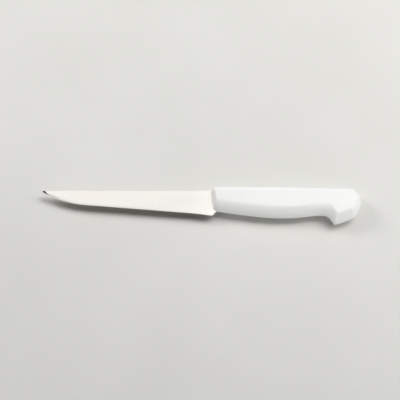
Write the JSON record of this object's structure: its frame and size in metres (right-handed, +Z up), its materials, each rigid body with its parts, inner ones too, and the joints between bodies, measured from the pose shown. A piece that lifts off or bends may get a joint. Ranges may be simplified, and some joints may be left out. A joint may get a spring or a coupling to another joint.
{
  "type": "cheese knife",
  "caption": "Cheese knife with a narrow straight-backed steel blade whose edge sweeps up to the tip, and a white moulded handle with a finger rest and a hooked pommel.",
  "frame": {"origin": "under the middle of the knife's bounding box, on the surface that it lies on", "axes": "+X from the tip to the pommel, +Y from the edge to the spine, +Z up, with the knife on its side"},
  "size_m": [0.2734, 0.0361, 0.016],
  "materials": {
    "blade_steel": "satin ground stainless steel, with a finer sharpened bevel",
    "handle_plastic": "white moulded plastic with a soft satin surface"
  },
  "bodies": {
    "root": {"blade": "blade_steel", "handle": "handle_plastic"}
  },
  "joints": []
}
